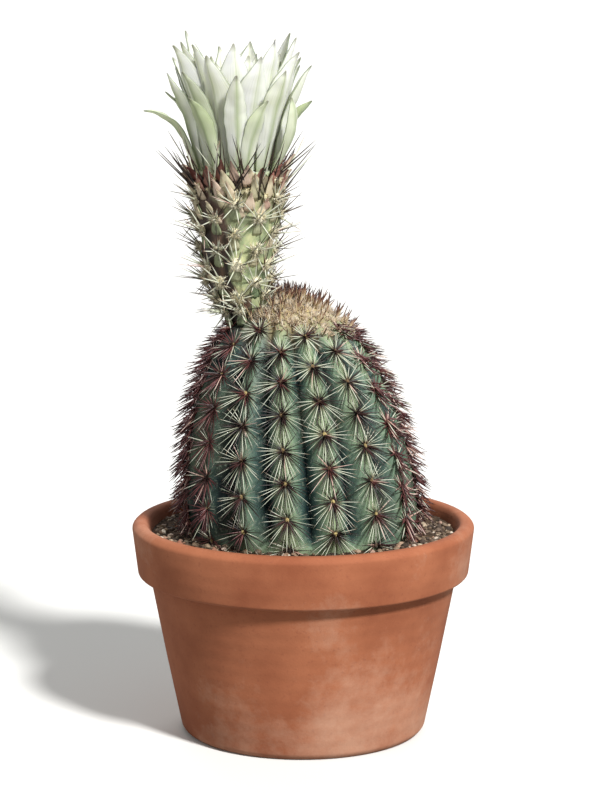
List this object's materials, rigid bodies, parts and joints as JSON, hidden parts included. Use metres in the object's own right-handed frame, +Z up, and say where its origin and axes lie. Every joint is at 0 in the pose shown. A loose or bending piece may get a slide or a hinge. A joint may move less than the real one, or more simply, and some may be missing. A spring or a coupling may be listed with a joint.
{
  "type": "potted echinocereus grandis cactus",
  "caption": "Young ribbed hedgehog cactus with star-shaped spine clusters and a white funnel flower on its shoulder, rooted in gritty soil in a low clay pot.",
  "frame": {"origin": "centre of the pot's underside, on the surface it stands on", "axes": "+Z up, -Y the front, +X the viewer's right; the flower grows on the -X shoulder of the stem"},
  "size_m": [0.106, 0.106, 0.2164],
  "materials": {
    "fired_clay": "unglazed fired clay, matt",
    "clay_shard": "broken unglazed clay, rough",
    "gritty_soil": "loose loam and grit, very rough",
    "cactus_skin": "waxy green skin, satin, with pale and dark red spines",
    "tube_skin": "green skin with reddish scales, white wool and spines",
    "outer_tepal": "thin petal, grey-green with a reddish tip",
    "inner_tepal": "thin petal, white with a pale green stripe",
    "pollen_yellow": "pale filaments with powdery yellow anthers",
    "stigma_green": "moist green lobes on a pale stalk"
  },
  "bodies": {
    "root": {"pot": "fired_clay", "drain_shard": "clay_shard", "soil": "gritty_soil", "stem": "cactus_skin", "flower_tube": "tube_skin", "outer_tepals": "outer_tepal", "inner_tepals": "inner_tepal", "stamens": "pollen_yellow", "style": "stigma_green"}
  },
  "joints": []
}
